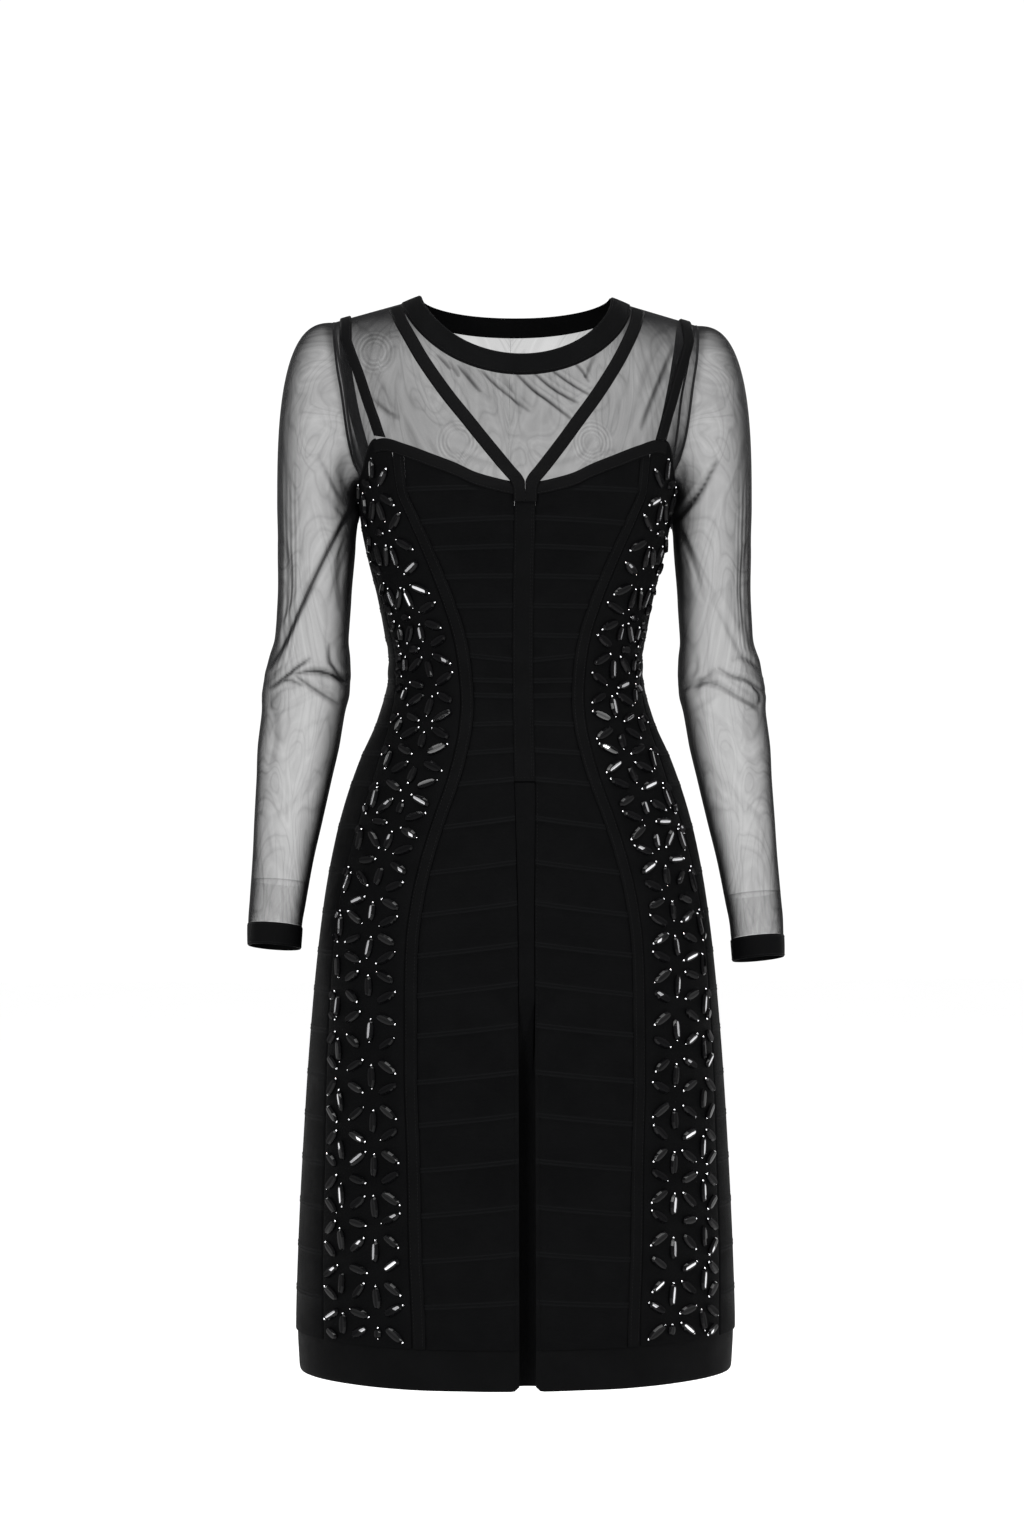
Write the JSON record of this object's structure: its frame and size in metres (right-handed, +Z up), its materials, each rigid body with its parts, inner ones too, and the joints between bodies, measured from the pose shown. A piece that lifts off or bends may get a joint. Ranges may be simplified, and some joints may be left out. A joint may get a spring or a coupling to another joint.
{
  "type": "dress",
  "caption": "Knee-length fitted and flared black dress with a sheer yoke and long sheer sleeves, crossing straps, raised strips, beaded side panels, a pleated centre front and a second hem",
  "frame": {"origin": "the middle of the shoulder line, where the wearer's shoulders carry the dress", "axes": "+X to the viewer's right, the front faces -Y, +Z up"},
  "size_m": [0.4816, 0.3028, 0.9591],
  "materials": {
    "knit": "matte dense stretch knit",
    "net": "fine sheer stretch net",
    "satin": "smooth binding",
    "beaded": "knit with glossy black beads"
  },
  "bodies": {
    "root": {"neckband": "knit", "centre_front_band": "knit", "pleat_underlay": "knit", "hem_band": "knit", "front_panel_left": "knit", "princess_band_left": "knit", "back_panel_left": "knit", "cuff_left": "knit", "front_panel_right": "knit", "princess_band_right": "knit", "back_panel_right": "knit", "cuff_right": "knit", "front_yoke": "net", "back_yoke_left": "net", "sleeve_left": "net", "back_yoke_right": "net", "sleeve_right": "net", "halter_strap_left": "satin", "shoulder_strap_left": "satin", "front_binding_left": "satin", "back_binding_left": "satin", "halter_strap_right": "satin", "shoulder_strap_right": "satin", "front_binding_right": "satin", "back_binding_right": "satin", "beaded_panel_left": "beaded", "beaded_panel_right": "beaded"}
  },
  "joints": []
}
